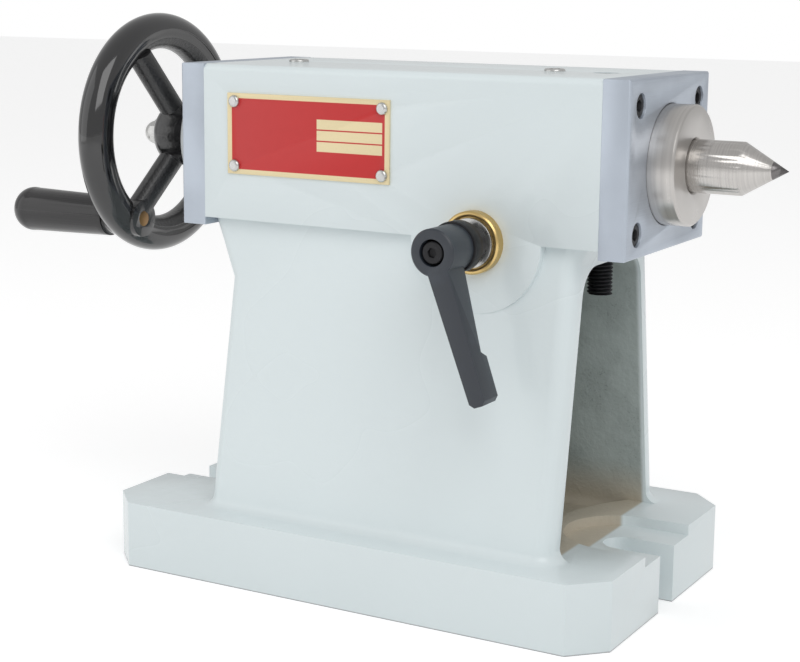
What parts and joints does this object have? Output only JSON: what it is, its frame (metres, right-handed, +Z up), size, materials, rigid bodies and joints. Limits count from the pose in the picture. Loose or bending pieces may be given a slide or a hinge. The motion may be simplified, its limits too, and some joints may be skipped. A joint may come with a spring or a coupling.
{
  "type": "lathe tailstock",
  "caption": "Cast lathe tailstock: open hollow pedestal with hold-down slots, square quill housing, dead centre, feed handwheel with a revolving handle and an indexable quill clamping lever.",
  "frame": {"origin": "underside of the base, straight below the spindle axis, midway between the ends of the base", "axes": "+X along the spindle axis towards the point of the centre, -Y towards the clamping lever and the nameplate, +Z up"},
  "size_m": [0.4144, 0.1714, 0.2726],
  "materials": {
    "body_paint": "smooth off-white enamel over iron",
    "ground_steel": "surface-ground, cool grey",
    "felt": "dense felt",
    "cap_steel": "fine-turned, light",
    "bronze": "turned bronze",
    "black_oxide": "black oxide",
    "plate_metal": "red plate with a cream border, no lettering",
    "bright_fastener": "bright",
    "turned_steel": "hardened and cylindrically ground",
    "centre_steel": "hardened and polished",
    "carbide": "sintered carbide, ground",
    "wheel_enamel": "gloss black rim, rough-cast spokes",
    "bolt_brass": "dull brass-brown",
    "grip_plastic": "polished black",
    "clamp_brass": "turned brass with a dished face",
    "spring_steel": "spring wire",
    "lever_metal": "satin blue-black"
  },
  "bodies": {
    "tailstock_body": {"body_casting": "body_paint", "front_cover": "ground_steel", "quill_wiper": "felt", "rear_cover": "ground_steel", "bearing_cap": "cap_steel", "screw_bush": "bronze", "thrust_washers": "bronze", "front_cover_screws": "black_oxide", "rear_cover_screws": "black_oxide", "bearing_cap_screws": "black_oxide", "quill_key_screw": "black_oxide", "top_plug": "black_oxide", "nameplate": "plate_metal", "nameplate_rivets": "bright_fastener", "ball_oilers": "bright_fastener"},
    "quill": {"quill": "turned_steel", "feed_nut": "bronze", "feed_nut_screws": "black_oxide"},
    "centre": {"dead_centre": "centre_steel", "carbide_tip": "carbide"},
    "feed_screw": {"feed_screw": "turned_steel", "handwheel": "wheel_enamel", "wheel_key": "bright_fastener", "wheel_washer": "bright_fastener", "wheel_nut": "bright_fastener", "handle_bolt": "bolt_brass"},
    "handle_grip": {"handle_grip": "grip_plastic"},
    "clamp_sleeve_near": {"clamp_sleeve_near": "clamp_brass", "clamp_washer": "bright_fastener"},
    "clamp_sleeve_far": {"clamp_sleeve_far": "clamp_brass"},
    "clamp_stud": {"clamp_stud": "black_oxide", "lever_screw": "black_oxide", "lever_spring": "spring_steel"},
    "clamping_lever": {"clamping_lever": "lever_metal"},
    "oiler_ball_front": {"oiler_ball_front": "bright_fastener"},
    "oiler_ball_rear": {"oiler_ball_rear": "bright_fastener"}
  },
  "joints": [
    {"name": "handwheel_turn", "type": "hinge", "parent": "tailstock_body", "child": "feed_screw", "pos_m": [0, 0, 0.21], "axis": [1, 0, 0], "range_deg": [-1080, 3420]},
    {"name": "quill_slide", "type": "slide", "parent": "tailstock_body", "child": "quill", "axis": [1, 0, 0], "range_m": [-0.01201, 0.03801]},
    {"name": "centre_pull", "type": "slide", "parent": "quill", "child": "centre", "axis": [1, 0, 0], "range_m": [0, 0.09]},
    {"name": "handle_spin", "type": "hinge", "parent": "feed_screw", "child": "handle_grip", "pos_m": [-0.2, -0.0275, 0.16765], "axis": [1, 0, 0], "continuous": true},
    {"name": "clamp_sleeve_near_slide", "type": "slide", "parent": "tailstock_body", "child": "clamp_sleeve_near", "axis": [0, -1, 0], "range_m": [0, 0.000187]},
    {"name": "clamp_sleeve_far_slide", "type": "slide", "parent": "tailstock_body", "child": "clamp_sleeve_far", "axis": [0, 1, 0], "range_m": [0, 0.0002]},
    {"name": "clamp_turn", "type": "hinge", "parent": "clamp_sleeve_near", "child": "clamp_stud", "pos_m": [0.055, 0, 0.1745], "axis": [0, -1, 0], "range_deg": [0, 90]},
    {"name": "lever_lift", "type": "slide", "parent": "clamp_stud", "child": "clamping_lever", "axis": [0, -1, 0], "range_m": [0, 0.005], "stiffness_N_per_m": 3400, "springref_m": -0.001, "deforming": ["lever_spring"]},
    {"name": "oiler_ball_front_press", "type": "slide", "parent": "tailstock_body", "child": "oiler_ball_front", "axis": [0, 0, -1], "range_m": [0, 0.0008], "stiffness_N_per_m": 300, "springref_m": -0.001},
    {"name": "oiler_ball_rear_press", "type": "slide", "parent": "tailstock_body", "child": "oiler_ball_rear", "axis": [0, 0, -1], "range_m": [0, 0.0008], "stiffness_N_per_m": 300, "springref_m": -0.001}
  ],
  "couplings": [
    {"joint": "quill_slide", "follows": "handwheel_turn", "m_per_rad": 0.00063662},
    {"joint": "clamp_turn", "follows": "clamp_sleeve_near_slide", "rad_per_m": 8377.6},
    {"joint": "clamp_sleeve_far_slide", "follows": "clamp_sleeve_near_slide", "ratio": 1}
  ]
}
